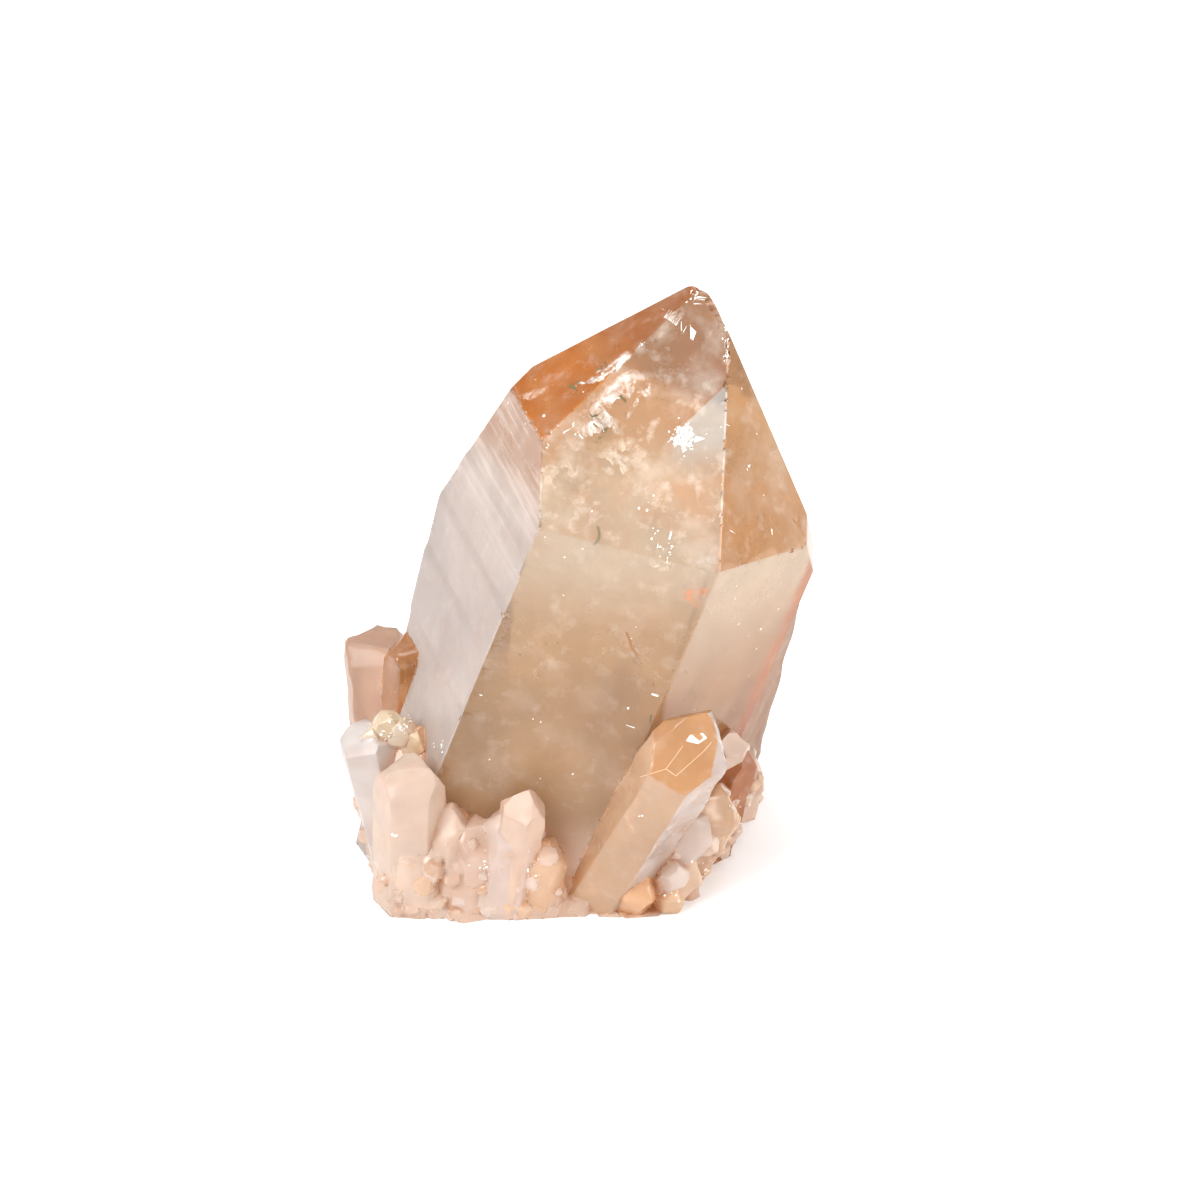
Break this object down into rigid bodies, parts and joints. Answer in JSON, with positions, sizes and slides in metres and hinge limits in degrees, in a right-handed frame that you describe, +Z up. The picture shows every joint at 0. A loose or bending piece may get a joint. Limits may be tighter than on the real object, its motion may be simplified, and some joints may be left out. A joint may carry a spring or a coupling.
{
  "type": "citrine crystal",
  "caption": "Leaning six-sided honey-coloured quartz point with a chipped tip, grown together with a collar of smaller crystals, cut off flat underneath.",
  "frame": {"origin": "the point where the main crystal's axis meets the flat cut underneath", "axes": "+Z up, out of the flat cut; the main crystal leans towards +X; the side with the leaning small crystal faces -Y"},
  "size_m": [0.0378, 0.0371, 0.0489],
  "materials": {
    "citrine": "cloudy translucent quartz with vitreous flat faces, honey to pale peach, whitish at the base"
  },
  "bodies": {
    "root": {"citrine_crystal": "citrine"}
  },
  "joints": []
}
